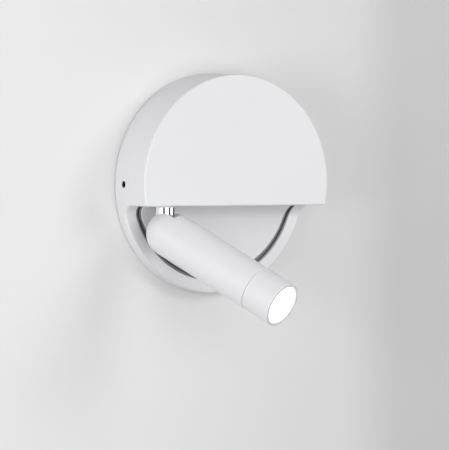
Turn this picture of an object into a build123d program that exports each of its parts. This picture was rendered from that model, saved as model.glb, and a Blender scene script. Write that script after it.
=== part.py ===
from build123d import *
import math
import os

# Pivoting spotlight wall light.
# Millimetres. The wall is the plane Y = 0 and the light stands out towards -Y.
# +X is right and +Z is up, seen by someone who faces the light.
# The origin is on the wall at the centre of the round housing.
# "h" is the height off the wall, so a point at h lies at Y = -h.

# ---------------------------------------------------------------- shared small sizes
OVER = 1.0                # how far a cutter runs past the surface it cuts
THREAD_GAP = 0.02         # screw shank to its threaded hole, on radius
RUN_GAP = 0.05            # running fit, on radius
HOLE_GAP = 0.2            # clearance hole around a screw, on radius
CROSS_W = 0.5             # width of the cross recess in a screw head
CROSS_SHARE = 0.6         # reach of that recess, as a share of the head's radius

# ---------------------------------------------------------------- housing
DRUM_R = 60.0             # outer radius of the round housing
DRUM_DEPTH = 30.0         # wall to front face
WALL_GAP = 0.6            # housing rim stands off the wall by the gasket
SIDE_WALL = 2.5           # thickness of the round side wall
FRONT_WALL = 2.0          # thickness of the D-shaped front face
FRONT_ROUND = 1.0         # rounding of the front face's edges
RIM_ROUND = 1.2           # rounding of the scooped side edges and the lower ring
RING_W = 7.0              # width of the lower ring, outline to groove
RING_LIP = 2.0            # thickness of the lower ring's inner wall
LEDGE_T = 1.5             # ledge behind the groove, which carries the recess plate
LEDGE_H = 2.0             # height of the back of that ledge
LEDGE_REACH = 7.0         # how far the ledge reaches in behind the recess plate

# ---------------------------------------------------------------- scoop for the head
ROOF_Z = -11.5            # flat roof over the head, which is also the front face's chord
RING_FACE_H = 6.7         # flat back of the scoop off the wall
CORNER_R = 8.0            # round corner between roof and back
SCOOP_WALL = 2.0          # metal thickness behind the scooped surface

# ---------------------------------------------------------------- recess plate and groove
GROOVE_W = 3.0            # open groove between plate and ring
GROOVE_CAP_T = 1.2        # bridge over the groove's upper ends
PLATE_SKIRT = 2.0         # thickness of the plate's side skirt
PLATE_ROUND = 0.5         # rounding of both edges of the groove
PLATE_FRONT_GAP = 0.3     # gap between plate and the back of the front face
LINER_T = 1.0             # floor of the dark liner in the groove
LINER_WALL = 0.6          # its two thin walls
LINER_SINK = 0.4          # the walls end this deep below the scooped surface
LINER_GAP = 0.15          # clearance of the liner to each wall of the groove
PLATE_SCREW_INSET = 4.0   # plate screws inside the plate's edge
PLATE_SCREW_ANGLES = (28.0, 62.0)  # from straight down, to both sides
PLATE_SCREW_R = 1.5
PLATE_SCREW_DEPTH = 2.6   # thread length above the ledge
PLATE_BOSS_R = 3.2
PLATE_SCREW_HEAD_R = 2.8
PLATE_SCREW_HEAD_T = 1.5

# ---------------------------------------------------------------- wall side
BRACKET_T = 1.5           # steel thickness of the wall bracket
BRACKET_DISC_R = 36.0
BRACKET_STRIP_W = 24.0
EAR_W = 12.0              # width of the bracket's side ears
EAR_TOP_H = 14.0
EAR_GAP = 0.3             # between an ear and the housing's screw boss
EAR_HOLE_R = 1.6
SLOT_SPACING = 60.0       # wall screw slots, centre to centre
SLOT_LENGTH = 10.0        # end to end
SLOT_R = 2.25
GASKET_W = 2.0
GASKET_INSET = 0.7        # gasket set back from the housing's outline
GROMMET_HOLE_R = 6.5
GROMMET_BORE_R = 4.0
GROMMET_FLANGE_R = 8.5
GROMMET_FLANGE_T = 1.8
GROMMET_CLEAR = 0.1

GRUB_H = 9.0              # height of the side grub screws off the wall
GRUB_R = 2.0
GRUB_RECESS = 0.4         # screw end sits this deep in its hole
GRUB_BOSS_R = 4.5
GRUB_BOSS_REACH = 2.6     # boss length inside the side wall
GRUB_TIP_R = 1.4
GRUB_SOCKET_R = 1.15
GRUB_SOCKET_DEPTH = 1.5

EARTH_X = -22.0
EARTH_Z = 20.0
EARTH_R = 2.0
EARTH_HEAD_R = 3.8
EARTH_HEAD_T = 2.4
EARTH_SLOT_W = 1.0
EARTH_SLOT_DEPTH = 1.2

TERMINAL_POLES = 3
TERMINAL_PITCH = 8.5
TERMINAL_D = 12.0         # size along Z
TERMINAL_T = 13.0         # size off the bracket
TERMINAL_Z = 15.0         # centre height
TERMINAL_WIRE_R = 1.4
TERMINAL_WIRE_RISE = 7.5  # wire entries above the bracket
TERMINAL_WELL_R = 2.4
TERMINAL_SLEEVE_T = 0.5   # wall of the brass sleeves
TERMINAL_SLEEVE_GAP = 0.1
TERMINAL_SLEEVE_L = 9.0
TERMINAL_TAP_R = 1.6      # screw hole in a sleeve
TERMINAL_SCREW_SINK = 1.8 # screw head below the block's front
TERMINAL_SLOT_W = 0.7
TERMINAL_SPLIT_W = 1.0    # notch between two poles
TERMINAL_SPLIT_DEPTH = 2.5

# ---------------------------------------------------------------- driver
DRIVER_W = 54.0
DRIVER_D = 22.0
DRIVER_T = 19.0
DRIVER_INSET = 21.5       # its centre below the top of the housing
DRIVER_H = 5.0            # back of the driver case off the wall
DRIVER_WALL = 1.4
DRIVER_LID_T = 1.4
DRIVER_BOARD_T = 1.6
DRIVER_EAR = 7.0          # screw ear length at each end
DRIVER_EAR_T = 2.0
DRIVER_SCREW_R = 1.5
DRIVER_BOSS_R = 3.0
DRIVER_SCREW_HEAD_R = 2.8
DRIVER_SCREW_HEAD_T = 2.0
DRIVER_SCREW_DEPTH = 3.0  # thread length in the housing's boss
DRIVER_BOARD_GAP = 0.2    # board to the case's walls
DRIVER_FOOT_R = 1.2       # stand-offs of the board
DRIVER_FOOT_INSET = 4.0
DRIVER_LEAD_SHARE = 0.45  # height of the lead hole, as a share of the case's depth
CORE_W = 16.0             # transformer core
CORE_D = 13.0
CORE_T = 10.0
CORE_LEG_W = 3.0
CORE_YOKE_T = 2.5
BOBBIN_W = 8.8
BOBBIN_D = 15.0
BOBBIN_T = 7.0
CAN_T = 9.0               # length of the capacitors
CAN_RADII = (4.0, 3.6, 3.0)
CAN_XS = (-17.0, 14.5, 14.5)
CAN_DZS = (4.0, 4.5, -5.0)
MAINS_CORE_R = 0.9
MAINS_CORE_SINK = 4.0     # cores reach this far into the driver and the terminals
OUTPUT_SINK = 0.5         # output lead starts this deep in the driver's end wall
OUTPUT_RUN = 9.5          # its first run, nearly level
OUTPUT_DROP = 1.0         # drop and forward slope of that run
OUTPUT_BEND_Z = 27.0      # its lowest bend beside the driver
OUTPUT_BEND_OUT = 1.5     # that bend's place, beyond the stem's axis
OUTPUT_BEND_RISE = 3.5    # and forward of the driver's lead hole
OUTPUT_STRAIGHT_Z = 13.5  # from here it runs straight down the stem's axis

# ---------------------------------------------------------------- stem, vertical pan axis
STEM_INSET = 8.6          # its axis inside the plate's left edge
PIVOT_Z = -24.9           # height of the tilt axis
PIVOT_H = 21.75           # both axes off the wall
STEM_R = 5.7
STEM_SHANK_R = 4.0
STEM_BORE_R = 2.0
STEM_TONGUE_T = 9.0       # thickness over the flats inside the head
STEM_FORK_SLOT = 4.2      # open slot for the lead between the two ears
FLAT_TOP = 6.5            # flats reach this high above the tilt axis
BUSH_FLANGE_R = 5.9
BUSH_FLANGE_T = 0.6
BUSH_SLEEVE_R = 5.0
SEAT_GAP = 0.05           # clearance between stacked washers
WASHER_GAP = 0.1          # washers around the shank, on radius
THRUST_WASHER_T = 0.8
STOP_WASHER_T = 1.5
STOP_WASHER_R = 5.7
STOP_TAB_REACH = 7.9
STOP_TAB_W = 3.0
STOP_PIN_R = 1.0
STOP_PIN_CLEAR = 0.15
STOP_PIN_REACH = 6.6      # stop pins' sideways distance from the stem
STOP_PIN_SINK = 1.2       # depth of the pins in the roof
SPRING_WASHER_T = 0.4
SPRING_WASHER_RISE = 0.6
RING_NUT_R = 5.9
RING_NUT_T = 3.0
RING_NUT_SLOT = 1.6
RING_NUT_WEB = 0.6        # nut's inner wall left behind the slots
SHANK_ABOVE_NUT = 1.6

# ---------------------------------------------------------------- spotlight head
HEAD_R = 12.5
HEAD_DOME_S = 3.3         # dome centre in front of the tilt axis
HEAD_LENGTH = 85.4        # tilt axis to front edge
HEAD_WALL = 1.4
BEZEL_LENGTH = 17.8
SEAM_GAP = 0.2
SEAM_CHAMFER = 0.25
HEAD_SLOT_CLEAR = 0.3     # slot clearance around the stem
KNUCKLE_CLEAR = 0.15      # knuckle and heat sink inside the shell
KNUCKLE_FRONT = 20.0
TILT_PIN_R = 2.0
TILT_PIN_END_GAP = 0.1    # pins stop short of the lead slot and of the shell
FRICTION_WASHER_R = 4.8
FRICTION_GAP = 0.05
LEAD_R = 1.5
LEAD_HOLE_R = 2.1
LEAD_END_GAP = 0.4        # lead ends to the tilt axis, beyond the lead's own radius
SHELL_SCREW_S = 14.0
SHELL_SCREW_R = 1.25
SHELL_SCREW_HEAD_R = 2.2
SHELL_SCREW_HEAD_T = 1.2
SHELL_SCREW_LENGTH = 6.0
SHELL_SCREW_SINK = 0.25   # screw head below the shell's skin
SHELL_SCREW_SOCKET_R = 0.9
SHELL_SCREW_SOCKET_SHARE = 0.7
SINK_LENGTH = 20.0
SINK_FIN_T = 1.4
SINK_FIN_GAP = 1.4
SINK_FIN_DEPTH = 3.0
SINK_FINS = 5
BEZEL_SPIGOT = 5.0        # length of the bezel's threaded spigot
BEZEL_LIP_W = 1.6         # width of the rim around the front lens
BEZEL_EDGE = 0.3
OPTIC_BORE_R = 9.6
PAD_T = 0.4
PAD_R = 8.0
BOARD_T = 1.6
BOARD_R = 8.8
CHIP_SIDE = 5.0
CHIP_T = 0.8
CHIP_DOME_R = 1.9
BOARD_SCREW_R = 1.0
BOARD_SCREW_U = 6.4
BOARD_SCREW_HEAD_R = 1.8
BOARD_SCREW_HEAD_T = 1.1
BOARD_SCREW_DEPTH = 4.0
HOLDER_T = 2.6
HOLDER_BORE_R = 3.9
OPTIC_R = 9.4
OPTIC_REAR_R = 4.2
OPTIC_LENGTH = 11.0
OPTIC_FLANGE_T = 1.2
OPTIC_FLANGE_W = 1.2      # width of the flange's step
OPTIC_HOLLOW_R = 2.9      # hollow over the chip
OPTIC_HOLLOW_DEPTH = 2.5
OPTIC_HOLLOW_DRAFT = 0.1
FRONT_LENS_T = 2.0
FRONT_LENS_SINK = 0.6
FRONT_LENS_CLEAR = 0.15
SPACER_W = 1.2

# ---------------------------------------------------------------- pose in which it is stored
PAN_REST = 68.2           # degrees out of the stowed position
TILT_REST = 25.9          # degrees down from level

# ---------------------------------------------------------------- derived places
RING_BORE_R = DRUM_R - RING_W
PLATE_R = RING_BORE_R - GROOVE_W
LEDGE_R = PLATE_R - LEDGE_REACH
PLATE_SCREW_PCR = PLATE_R - PLATE_SCREW_INSET
STEM_X = STEM_INSET - PLATE_R
DRIVER_Z = DRUM_R - DRIVER_INSET
FRONT_INNER_H = DRUM_DEPTH - FRONT_WALL
LEDGE_TOP_H = LEDGE_H + LEDGE_T
ROOF_TOP_Z = ROOF_Z + SCOOP_WALL
SHELL_BORE_R = HEAD_R - HEAD_WALL
INNER_R = SHELL_BORE_R - KNUCKLE_CLEAR
SLOT_HALF = STEM_R + HEAD_SLOT_CLEAR
SEAM_S = HEAD_LENGTH - BEZEL_LENGTH
SPIGOT_BACK_S = SEAM_S - BEZEL_SPIGOT
SINK_BACK_S = SPIGOT_BACK_S - SINK_LENGTH
BOARD_BACK_S = SPIGOT_BACK_S + PAD_T
BOARD_FRONT_S = BOARD_BACK_S + BOARD_T
STEM_SHOULDER_Z = ROOF_Z - BUSH_FLANGE_T - SEAT_GAP
THRUST_Z = ROOF_TOP_Z + SEAT_GAP
STOP_Z = THRUST_Z + THRUST_WASHER_T + SEAT_GAP
SPRING_Z = STOP_Z + STOP_WASHER_T + SEAT_GAP
NUT_Z = SPRING_Z + SPRING_WASHER_T + SPRING_WASHER_RISE + SEAT_GAP
SHANK_TOP_Z = NUT_Z + RING_NUT_T + SHANK_ABOVE_NUT

BASE = (Align.CENTER, Align.CENTER, Align.MIN)
MIN3 = (Align.MIN, Align.MIN, Align.MIN)

# ---------------------------------------------------------------- local frames
PHI = math.radians(PAN_REST)
THETA = math.radians(TILT_REST)
PIVOT = Vector(STEM_X, -PIVOT_H, PIVOT_Z)
TILT_AXIS = Vector(math.sin(PHI), math.cos(PHI), 0)
AIM = Vector(math.cos(THETA) * math.cos(PHI), -math.cos(THETA) * math.sin(PHI), -math.sin(THETA))
HEAD = Plane(origin=PIVOT, x_dir=TILT_AXIS, z_dir=AIM)
STEM = Plane(origin=PIVOT, x_dir=TILT_AXIS, z_dir=Vector(0, 0, 1))


def disc(radius, h0, h1, x=0.0, z=0.0):
    """Round solid standing off the wall, from height h0 to h1."""
    return Plane.XZ * Pos(x, z, h0) * Cylinder(radius, h1 - h0, align=BASE)


def tube(outer, inner, h0, h1):
    """Round ring standing off the wall."""
    return disc(outer, h0, h1) - disc(inner, h0 - OVER, h1 + OVER)


def slab(x0, x1, z0, z1, h0, h1):
    """Box given by its sides, in wall coordinates."""
    return Plane.XZ * Pos(x0, z0, h0) * Box(x1 - x0, z1 - z0, h1 - h0, align=MIN3)


def side_rod(radius, x0, x1, z, h):
    """Round rod along X."""
    return Pos(x0, -h, z) * Rot(0, 90, 0) * Cylinder(radius, x1 - x0, align=BASE)


def post(radius, z0, z1):
    """Round post on the stem's axis, between two heights."""
    return Pos(STEM_X, -PIVOT_H, z0) * Cylinder(radius, z1 - z0, align=BASE)


def barrel(radius, s0, s1, u=0.0, n=0.0):
    """Round solid along the head's axis, s measured from the tilt axis."""
    return HEAD * Pos(u, n, s0) * Cylinder(radius, s1 - s0, align=BASE)


def head_box(u0, u1, n0, n1, s0, s1):
    """Box in the head's own frame."""
    return HEAD * Pos(u0, n0, s0) * Box(u1 - u0, n1 - n0, s1 - s0, align=MIN3)


def cross_pin(radius, u0, u1):
    """Round solid along the tilt axis."""
    return HEAD * Pos(u0, 0, 0) * Rot(0, 90, 0) * Cylinder(radius, u1 - u0, align=BASE)


def scoop(grow=0.0):
    """Everything that the head needs clear: flat roof, round corner, flat back and all below."""
    reach, front = DRUM_R + OVER, DRUM_DEPTH + OVER
    corner_z, corner_h = ROOF_Z - CORNER_R, RING_FACE_H + CORNER_R
    corner = side_rod(CORNER_R + grow, -reach, reach, corner_z, corner_h)
    below = slab(-reach, reach, -reach, corner_z, RING_FACE_H - grow, front)
    ahead = slab(-reach, reach, corner_z, ROOF_Z + grow, corner_h, front)
    return corner + below + ahead


def angle_spot(radius, degrees_from_down):
    """Point on a circle about the origin, counted from straight down."""
    a = math.radians(degrees_from_down)
    return radius * math.sin(a), -radius * math.cos(a)


def plate_screw_spots():
    """Places of the screws that hold the recess plate."""
    turns = [side * a for a in PLATE_SCREW_ANGLES for side in (-1, 1)]
    return [angle_spot(PLATE_SCREW_PCR, t) for t in turns]


def route(points, radii):
    """Path of straight runs joined by tangent arcs."""
    return FilletPolyline(*points, radius=radii)


def lead(points, radii, radius):
    """Round lead along such a path."""
    path = route(points, radii)
    section = Plane(origin=path @ 0, z_dir=path % 0) * Circle(radius)
    solid = sweep(section, path=path)
    length = path.length
    share = solid.volume / (math.pi * radius ** 2 * length)
    print("lead radii", radii, "length", round(length, 2), "volume share", round(share, 4))
    return solid


def arc_radii(points):
    """The largest even arcs for a route: 0.45 of the shorter run at each turn."""
    spots = [Vector(*p) for p in points]
    radii = []
    for before, here, after in zip(spots, spots[1:], spots[2:]):
        run_in = here - before
        run_out = after - here
        turn = math.radians(run_in.get_angle(run_out))
        radii.append(0.45 * min(run_in.length, run_out.length) / math.tan(turn / 2))
    return radii


# ---------------------------------------------------------------- housing pieces
def low_side(edge):
    """Least height of an edge off the wall."""
    return -edge.bounding_box().max.Y


def scooped_edges(body, radius):
    """Edges where the scoop cuts through a round wall of this radius."""
    lowest, highest = RING_FACE_H - PLATE_ROUND, RING_FACE_H + CORNER_R + PLATE_ROUND
    return [e for e in body.edges()
            if lowest < low_side(e) < highest
            and abs(math.hypot((e @ 0.5).X, (e @ 0.5).Z) - radius) < PLATE_ROUND / 2]


def front_edges(body):
    """Edges round the flat front face."""
    return [e for e in body.edges() if low_side(e) > DRUM_DEPTH - FRONT_ROUND / 2]


def groove_caps():
    """Bridges that close the groove's upper ends to both sides of the plate."""
    ring = tube(RING_BORE_R + RING_LIP, PLATE_R + PLATE_FRONT_GAP, LEDGE_H, FRONT_INNER_H)
    return ring & slab(-DRUM_R, DRUM_R, ROOF_TOP_Z, ROOF_TOP_Z + GROOVE_CAP_T, 0, DRUM_DEPTH)


def make_housing():
    """Round shell: D-shaped face, side wall, scooped surface and lower ring."""
    drum = disc(DRUM_R, WALL_GAP, DRUM_DEPTH) - scoop()
    drum = fillet(scooped_edges(drum, DRUM_R), RIM_ROUND)
    drum = fillet(front_edges(drum), FRONT_ROUND)
    drum -= disc(RING_BORE_R, 0, FRONT_INNER_H)
    drum = fillet(scooped_edges(drum, RING_BORE_R), PLATE_ROUND)
    cavity = disc(DRUM_R - SIDE_WALL, 0, FRONT_INNER_H) - scoop(SCOOP_WALL)
    shell = drum - cavity
    lower = slab(-DRUM_R, DRUM_R, -DRUM_R, ROOF_TOP_Z, 0, DRUM_DEPTH)
    lip = tube(RING_BORE_R + RING_LIP, RING_BORE_R, LEDGE_H, FRONT_INNER_H) & lower
    ledge = tube(RING_BORE_R + RING_LIP, LEDGE_R, LEDGE_H, LEDGE_TOP_H) & lower
    shell = shell + (lip - scoop(SCOOP_WALL / 2)) + ledge
    shell += groove_caps()
    for x, z in plate_screw_spots():
        shell -= disc(PLATE_SCREW_R + HOLE_GAP, 0, DRUM_DEPTH / 2, x, z)
    for side in (-1, 1):
        inner = DRUM_R - SIDE_WALL - GRUB_BOSS_REACH
        x0, x1 = sorted((side * inner, side * (DRUM_R - SIDE_WALL / 2)))
        shell += side_rod(GRUB_BOSS_R, x0, x1, 0, GRUB_H)
    for side in (-1, 1):
        x0, x1 = sorted((side * (DRUM_R / 2), side * (DRUM_R + OVER)))
        shell -= side_rod(GRUB_R, x0, x1, 0, GRUB_H)
    for x in driver_screw_xs():
        boss = disc(DRIVER_BOSS_R, DRIVER_H + DRIVER_T, FRONT_INNER_H + FRONT_WALL / 2, x, DRIVER_Z)
        shell += boss - disc(DRIVER_SCREW_R, 0, FRONT_INNER_H, x, DRIVER_Z)
    return shell


def make_recess_plate():
    """Inner plate with the channel's back and roof, and a skirt that sets the groove."""
    front_h = FRONT_INNER_H - PLATE_FRONT_GAP
    body = disc(PLATE_R, LEDGE_TOP_H, front_h) - scoop()
    body = fillet(scooped_edges(body, PLATE_R), PLATE_ROUND)
    hollow = disc(PLATE_R - PLATE_SKIRT, 0, front_h - SCOOP_WALL) - scoop(SCOOP_WALL)
    top = slab(-DRUM_R, DRUM_R, ROOF_TOP_Z, DRUM_R, 0, DRUM_DEPTH)
    plate = body - hollow - top
    plate -= post(BUSH_SLEEVE_R + RUN_GAP, ROOF_Z - OVER, ROOF_TOP_Z + OVER)
    for x, y in stop_pin_spots():
        plate -= Pos(x, y, ROOF_TOP_Z - STOP_PIN_SINK) * Cylinder(STOP_PIN_R, 2 * STOP_PIN_SINK, align=BASE)
    for x, z in plate_screw_spots():
        plate += disc(PLATE_BOSS_R, LEDGE_TOP_H, RING_FACE_H - SCOOP_WALL / 2, x, z)
    for x, z in plate_screw_spots():
        plate -= disc(PLATE_SCREW_R, 0, LEDGE_TOP_H + PLATE_SCREW_DEPTH, x, z)
    return plate


def stop_pin_spots():
    """Two stop pins on the roof, in front of the stem to its left and right."""
    forward = STOP_TAB_W / 2 + STOP_PIN_R + STOP_PIN_CLEAR
    return [(STEM_X + side * STOP_PIN_REACH, -PIVOT_H - forward) for side in (-1, 1)]


def make_stop_pins():
    height = STOP_PIN_SINK + THRUST_WASHER_T + STOP_WASHER_T + 4 * SEAT_GAP
    pins = [Pos(x, y, ROOF_TOP_Z - STOP_PIN_SINK) * Cylinder(STOP_PIN_R, height, align=BASE)
            for x, y in stop_pin_spots()]
    return Compound(children=pins)


def make_groove_liner():
    """Dark liner of the groove: a floor with a thin wall along each side."""
    outer, inner = RING_BORE_R - LINER_GAP, PLATE_R + LINER_GAP
    ring = tube(outer, inner, LEDGE_TOP_H, FRONT_INNER_H) - scoop(LINER_SINK)
    ring -= tube(outer - LINER_WALL, inner + LINER_WALL, LEDGE_TOP_H + LINER_T, FRONT_INNER_H)
    return ring & slab(-DRUM_R, DRUM_R, -DRUM_R, ROOF_Z, 0, DRUM_DEPTH)


def make_wall_gasket():
    outer = DRUM_R - GASKET_INSET
    return tube(outer, outer - GASKET_W, 0, WALL_GAP)


def pan_screw(x, z, h_seat, shank_r, head_r, head_t, length):
    """Cross-recess pan head screw driven from behind, towards the front."""
    head = disc(head_r, h_seat - head_t, h_seat, x, z)
    half, reach = CROSS_W / 2, head_r * CROSS_SHARE
    h0, h1 = h_seat - head_t - OVER, h_seat - head_t / 2
    head -= slab(x - reach, x + reach, z - half, z + half, h0, h1)
    head -= slab(x - half, x + half, z - reach, z + reach, h0, h1)
    return head + disc(shank_r, h_seat, h_seat + length, x, z)


def make_plate_screws():
    length = LEDGE_T + PLATE_SCREW_DEPTH - HOLE_GAP
    shank_r = PLATE_SCREW_R - THREAD_GAP
    screws = [pan_screw(x, z, LEDGE_H, shank_r, PLATE_SCREW_HEAD_R, PLATE_SCREW_HEAD_T, length)
              for x, z in plate_screw_spots()]
    return Compound(children=screws)


def make_side_grub_screws():
    screws = []
    for side in (-1, 1):
        outer = DRUM_R - GRUB_RECESS
        inner = ear_face_x() + EAR_GAP
        x0, x1 = sorted((side * inner, side * outer))
        screw = side_rod(GRUB_R - RUN_GAP, x0, x1, 0, GRUB_H)
        x0, x1 = sorted((side * (inner - EAR_GAP - BRACKET_T / 2), side * inner))
        screw += side_rod(GRUB_TIP_R, x0, x1, 0, GRUB_H)
        x0, x1 = sorted((side * (outer - GRUB_SOCKET_DEPTH), side * (outer + OVER)))
        hexagon = Plane(origin=(x0, -GRUB_H, 0), z_dir=(1, 0, 0)) * RegularPolygon(GRUB_SOCKET_R, 6)
        screws.append(screw - extrude(hexagon, x1 - x0))
    return Compound(children=screws)


# ---------------------------------------------------------------- wall side pieces
def ear_face_x():
    """Outer face of the bracket's ear, just inside the housing's screw boss."""
    return DRUM_R - SIDE_WALL - GRUB_BOSS_REACH - EAR_GAP


def make_wall_bracket():
    """Pressed steel bracket with two slotted screw holes and two upright ears."""
    reach = ear_face_x()
    plate = disc(BRACKET_DISC_R, 0, BRACKET_T)
    plate += slab(-reach, reach, -BRACKET_STRIP_W / 2, BRACKET_STRIP_W / 2, 0, BRACKET_T)
    for side in (-1, 1):
        x0, x1 = sorted((side * (reach - BRACKET_T), side * reach))
        ear = slab(x0, x1, -EAR_W / 2, EAR_W / 2, 0, EAR_TOP_H)
        plate += ear
        x0, x1 = sorted((side * (reach - 2 * BRACKET_T), side * (reach + OVER)))
        plate -= side_rod(EAR_HOLE_R, x0, x1, 0, GRUB_H)
    for side in (-1, 1):
        x = side * SLOT_SPACING / 2
        slot = extrude(SlotOverall(SLOT_LENGTH, 2 * SLOT_R), BRACKET_T + 2 * OVER)
        plate -= Plane.XZ * Pos(x, 0, -OVER) * slot
    plate -= disc(GROMMET_HOLE_R, -OVER, BRACKET_T + OVER)
    plate -= disc(EARTH_R, -OVER, BRACKET_T + OVER, EARTH_X, EARTH_Z)
    return plate


def make_cable_grommet():
    sleeve = disc(GROMMET_HOLE_R - GROMMET_CLEAR, 0, BRACKET_T)
    flange = disc(GROMMET_FLANGE_R, BRACKET_T, BRACKET_T + GROMMET_FLANGE_T)
    return sleeve + flange - disc(GROMMET_BORE_R, -OVER, BRACKET_T + GROMMET_FLANGE_T + OVER)


def make_earth_screw():
    top = BRACKET_T + EARTH_HEAD_T
    screw = disc(EARTH_R - RUN_GAP, 0, BRACKET_T, EARTH_X, EARTH_Z)
    screw += disc(EARTH_HEAD_R, BRACKET_T, top, EARTH_X, EARTH_Z)
    half = EARTH_SLOT_W / 2
    return screw - slab(EARTH_X - EARTH_HEAD_R, EARTH_X + EARTH_HEAD_R, EARTH_Z - half, EARTH_Z + half,
                        top - EARTH_SLOT_DEPTH, top + OVER)


def pole_xs():
    """Centres of the terminal block's poles."""
    half = (TERMINAL_POLES - 1) / 2
    return [(i - half) * TERMINAL_PITCH for i in range(TERMINAL_POLES)]


def wire_h():
    """Height of the wires between the terminals and the driver."""
    return BRACKET_T + TERMINAL_WIRE_RISE


def upright_rod(radius, x, z0, z1, h):
    """Round rod along Z."""
    return Pos(x, -h, z0) * Cylinder(radius, z1 - z0, align=BASE)


def make_terminal_block():
    """Insulating block with a wire entry and a screw well for each pole."""
    half_w = TERMINAL_POLES * TERMINAL_PITCH / 2
    z0, z1 = TERMINAL_Z - TERMINAL_D / 2, TERMINAL_Z + TERMINAL_D / 2
    top = BRACKET_T + TERMINAL_T
    block = slab(-half_w, half_w, z0, z1, BRACKET_T, top)
    entry_r = TERMINAL_WIRE_R + TERMINAL_SLEEVE_T + TERMINAL_SLEEVE_GAP
    for x in pole_xs():
        block -= upright_rod(entry_r, x, z0 - OVER, z1 + OVER, wire_h())
        block -= disc(TERMINAL_WELL_R, wire_h(), top + OVER, x, TERMINAL_Z)
    half = TERMINAL_SPLIT_W / 2
    for x in [(a + b) / 2 for a, b in zip(pole_xs(), pole_xs()[1:])]:
        block -= slab(x - half, x + half, z0 - OVER, z1 + OVER, top - TERMINAL_SPLIT_DEPTH, top + OVER)
    return block


def make_terminal_clamps():
    """Brass sleeve of each pole."""
    half = TERMINAL_SLEEVE_L / 2
    z0, z1 = TERMINAL_Z - half, TERMINAL_Z + half
    clamps = []
    for x in pole_xs():
        sleeve = upright_rod(TERMINAL_WIRE_R + TERMINAL_SLEEVE_T, x, z0, z1, wire_h())
        sleeve -= upright_rod(TERMINAL_WIRE_R, x, z0 - OVER, z1 + OVER, wire_h())
        clamps.append(sleeve - disc(TERMINAL_TAP_R, wire_h(), wire_h() + TERMINAL_T, x, TERMINAL_Z))
    return Compound(children=clamps)


def make_terminal_screws():
    base = wire_h() + TERMINAL_WIRE_R + TERMINAL_SLEEVE_T + TERMINAL_SLEEVE_GAP
    top = BRACKET_T + TERMINAL_T - TERMINAL_SCREW_SINK
    half = TERMINAL_SLOT_W / 2
    screws = []
    for x in pole_xs():
        screw = disc(TERMINAL_WELL_R - RUN_GAP, base, top, x, TERMINAL_Z)
        slot = slab(x - TERMINAL_WELL_R, x + TERMINAL_WELL_R, TERMINAL_Z - half, TERMINAL_Z + half,
                    (base + top) / 2, top + OVER)
        screws.append(screw - slot)
    return Compound(children=screws)


# ---------------------------------------------------------------- driver
def driver_screw_xs():
    reach = DRIVER_W / 2 + DRIVER_EAR / 2
    return (-reach, reach)


def driver_box(inset, h0, h1):
    half_w, half_d = DRIVER_W / 2 - inset, DRIVER_D / 2 - inset
    return slab(-half_w, half_w, DRIVER_Z - half_d, DRIVER_Z + half_d, h0, h1)


def make_driver_case():
    """Open tray with screw ears, its floor towards the front face."""
    top = DRIVER_H + DRIVER_T
    case = driver_box(0, DRIVER_H + DRIVER_LID_T, top)
    case -= driver_box(DRIVER_WALL, DRIVER_H, top - DRIVER_WALL)
    for x in driver_screw_xs():
        side = math.copysign(1, x)
        x0, x1 = sorted((side * DRIVER_W / 2, x + side * DRIVER_EAR / 2))
        ear = slab(x0, x1, DRIVER_Z - DRIVER_EAR / 2, DRIVER_Z + DRIVER_EAR / 2, top - DRIVER_EAR_T, top)
        case += ear
        case -= disc(DRIVER_SCREW_R + HOLE_GAP, top - DRIVER_EAR_T - OVER, top + OVER, x, DRIVER_Z)
    end = -DRIVER_W / 2
    case -= side_rod(LEAD_R + HOLE_GAP, end - OVER, end + 2 * DRIVER_WALL, DRIVER_Z, driver_lead_h())
    z0 = DRIVER_Z - DRIVER_D / 2
    for x in mains_core_xs():
        case -= upright_rod(MAINS_CORE_R + HOLE_GAP, x, z0 - OVER, z0 + DRIVER_WALL + OVER, wire_h())
    return case


def driver_lead_h():
    return DRIVER_H + DRIVER_T * DRIVER_LEAD_SHARE


def make_driver_lid():
    """Lid over the case's open back, with a rim that plugs into it."""
    seat = DRIVER_H + DRIVER_LID_T
    lid = driver_box(0, DRIVER_H, seat)
    lid += driver_box(DRIVER_WALL + RUN_GAP, seat, seat + DRIVER_LID_T)
    return lid - driver_box(2 * DRIVER_WALL, seat, DRIVER_H + DRIVER_T)


def driver_board_h():
    return DRIVER_H + DRIVER_T - DRIVER_WALL - 2 * DRIVER_BOARD_T


def make_driver_board():
    h = driver_board_h()
    board = driver_box(DRIVER_WALL + DRIVER_BOARD_GAP, h, h + DRIVER_BOARD_T)
    half_w, half_d = DRIVER_W / 2 - DRIVER_FOOT_INSET, DRIVER_D / 2 - DRIVER_FOOT_INSET
    for x in (-half_w, half_w):
        for z in (DRIVER_Z - half_d, DRIVER_Z + half_d):
            board += disc(DRIVER_FOOT_R, h + DRIVER_BOARD_T, DRIVER_H + DRIVER_T - DRIVER_WALL, x, z)
    return board


def block_on_board(width, depth, h0, h1):
    """Box centred on the board, h0 to h1 below the board's back."""
    h = driver_board_h()
    return slab(-width / 2, width / 2, DRIVER_Z - depth / 2, DRIVER_Z + depth / 2, h - h1, h - h0)


def make_driver_transformer():
    """Ferrite core with its wound bobbin, on the back of the board."""
    core = block_on_board(CORE_W, CORE_D, 0, CORE_T)
    core -= block_on_board(CORE_W - 2 * CORE_LEG_W, CORE_D + OVER, CORE_YOKE_T, CORE_T - CORE_YOKE_T)
    middle = CORE_T / 2
    return core + block_on_board(BOBBIN_W, BOBBIN_D, middle - BOBBIN_T / 2, middle + BOBBIN_T / 2)


def make_driver_capacitors():
    h = driver_board_h()
    cans = [disc(r, h - CAN_T, h, x, DRIVER_Z + dz) for r, x, dz in zip(CAN_RADII, CAN_XS, CAN_DZS)]
    return Compound(children=cans)


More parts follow.
